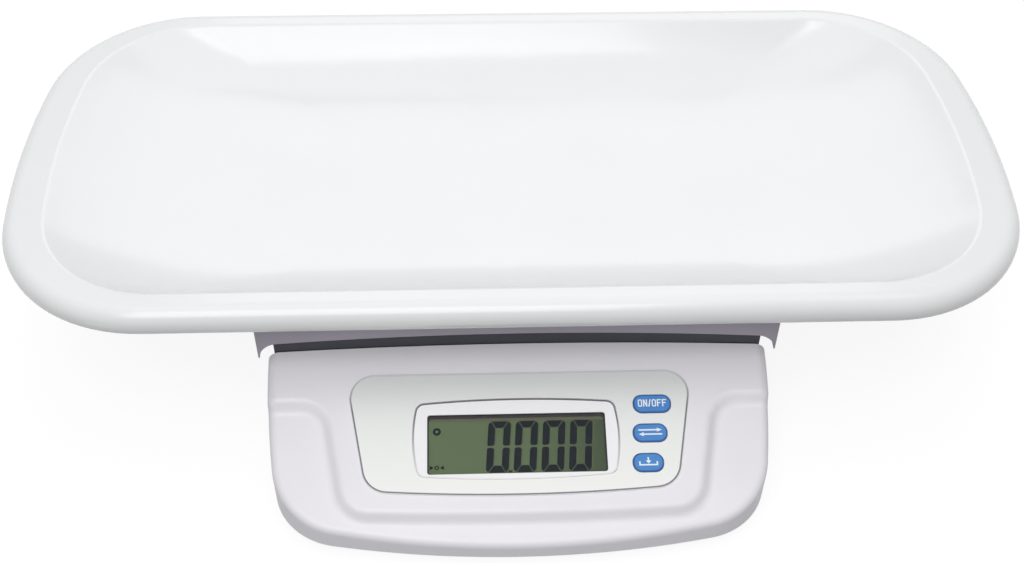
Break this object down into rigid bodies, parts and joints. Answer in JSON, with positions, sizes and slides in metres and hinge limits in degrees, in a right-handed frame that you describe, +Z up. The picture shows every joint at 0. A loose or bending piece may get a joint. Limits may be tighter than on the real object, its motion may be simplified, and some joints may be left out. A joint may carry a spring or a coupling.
{
  "type": "digital baby weighing scale",
  "caption": "Low table scale for weighing infants: a wide rounded pan with a rolled rim over a load cell platform, with a sloping front console holding a display and push keys.",
  "frame": {"origin": "centre of the footprint on the table, at the underside of the feet", "axes": "+X to the user's right along the pan, +Y from the console to the rear, +Z up"},
  "size_m": [0.554, 0.3396, 0.112],
  "materials": {
    "pan_white": "glossy injection-moulded ABS",
    "console_white": "satin ABS",
    "case_white": "satin ABS",
    "platform_grey": "fine-grained ABS",
    "deck_slate": "fine-grained ABS",
    "faceplate_silver": "silver-white printed film on a plastic plate",
    "bezel_white": "glossy ABS",
    "window_clear": "clear acrylic",
    "lcd_green": "green-grey reflective liquid crystal display",
    "carrier_black": "moulded frame",
    "key_blue": "smooth silicone",
    "plunger_black": "moulded",
    "switch_steel": "tinned",
    "board_green": "solder resist",
    "chip_black": "epoxy",
    "connector_cream": "nylon",
    "plate_steel": "zinc plated",
    "screw_steel": "zinc plated",
    "cell_aluminium": "anodised",
    "cast_aluminium": "as cast",
    "potting": "silicone",
    "pad_rubber": "soft",
    "foot_rubber": "soft",
    "battery_wrap": "plain shrink wrap",
    "contact_plating": "nickel plated",
    "jack_black": "moulded",
    "lead_grey": "PVC sheath"
  },
  "bodies": {
    "base": {"battery_cells": "battery_wrap", "battery_contacts": "contact_plating", "battery_lead": "lead_grey", "battery_springs": "contact_plating", "board_chips": "chip_black", "board_connectors": "connector_cream", "board_screws": "screw_steel", "bottom_case": "case_white", "buzzer": "chip_black", "case_screws": "screw_steel", "dc_jack": "jack_black", "deck_cover": "deck_slate", "display_bezel": "bezel_white", "display_carrier": "carrier_black", "display_window": "window_clear", "faceplate": "faceplate_silver", "feet": "foot_rubber", "gauge_potting": "potting", "jack_lead": "lead_grey", "lcd_glass": "lcd_green", "load_cell": "cell_aluminium", "load_cell_lead": "lead_grey", "load_cell_plate": "plate_steel", "lower_cell_screws": "screw_steel", "lower_spacer_block": "cast_aluminium", "main_board": "board_green", "overload_stop": "screw_steel", "plate_screws": "screw_steel", "tact_switches": "switch_steel", "upper_housing": "console_white"},
    "platform": {"platform_top_cover": "platform_grey", "platform_frame": "cast_aluminium", "platform_screws": "screw_steel", "upper_spacer_block": "cast_aluminium", "upper_cell_screws": "screw_steel"},
    "pan": {"pan": "pan_white", "pan_pads": "pad_rubber"},
    "battery_door": {"battery_door": "case_white"},
    "power_key_body": {"power_key": "key_blue", "power_switch_plunger": "plunger_black"},
    "mode_key_body": {"mode_key": "key_blue", "mode_switch_plunger": "plunger_black"},
    "memory_key_body": {"memory_key": "key_blue", "memory_switch_plunger": "plunger_black"}
  },
  "joints": [
    {"name": "weigh_travel", "type": "slide", "parent": "base", "child": "platform", "axis": [0, 0, -1], "range_m": [0, 0.0006], "stiffness_N_per_m": 327000, "deforming": ["load_cell"]},
    {"name": "pan_lift", "type": "slide", "parent": "platform", "child": "pan", "axis": [0, 0, 1], "range_m": [0, 0.08]},
    {"name": "battery_door_swing", "type": "hinge", "parent": "base", "child": "battery_door", "pos_m": [0, 0.07645, 0.0095], "axis": [-1, 0, 0], "range_deg": [0, 80]},
    {"name": "power_key_press", "type": "slide", "parent": "base", "child": "power_key_body", "axis": [0, 0.3107, -0.9505], "range_m": [0, 0.0006], "stiffness_N_per_m": 2500},
    {"name": "mode_key_press", "type": "slide", "parent": "base", "child": "mode_key_body", "axis": [0, 0.3107, -0.9505], "range_m": [0, 0.0006], "stiffness_N_per_m": 2500},
    {"name": "memory_key_press", "type": "slide", "parent": "base", "child": "memory_key_body", "axis": [0, 0.3107, -0.9505], "range_m": [0, 0.0006], "stiffness_N_per_m": 2500}
  ]
}
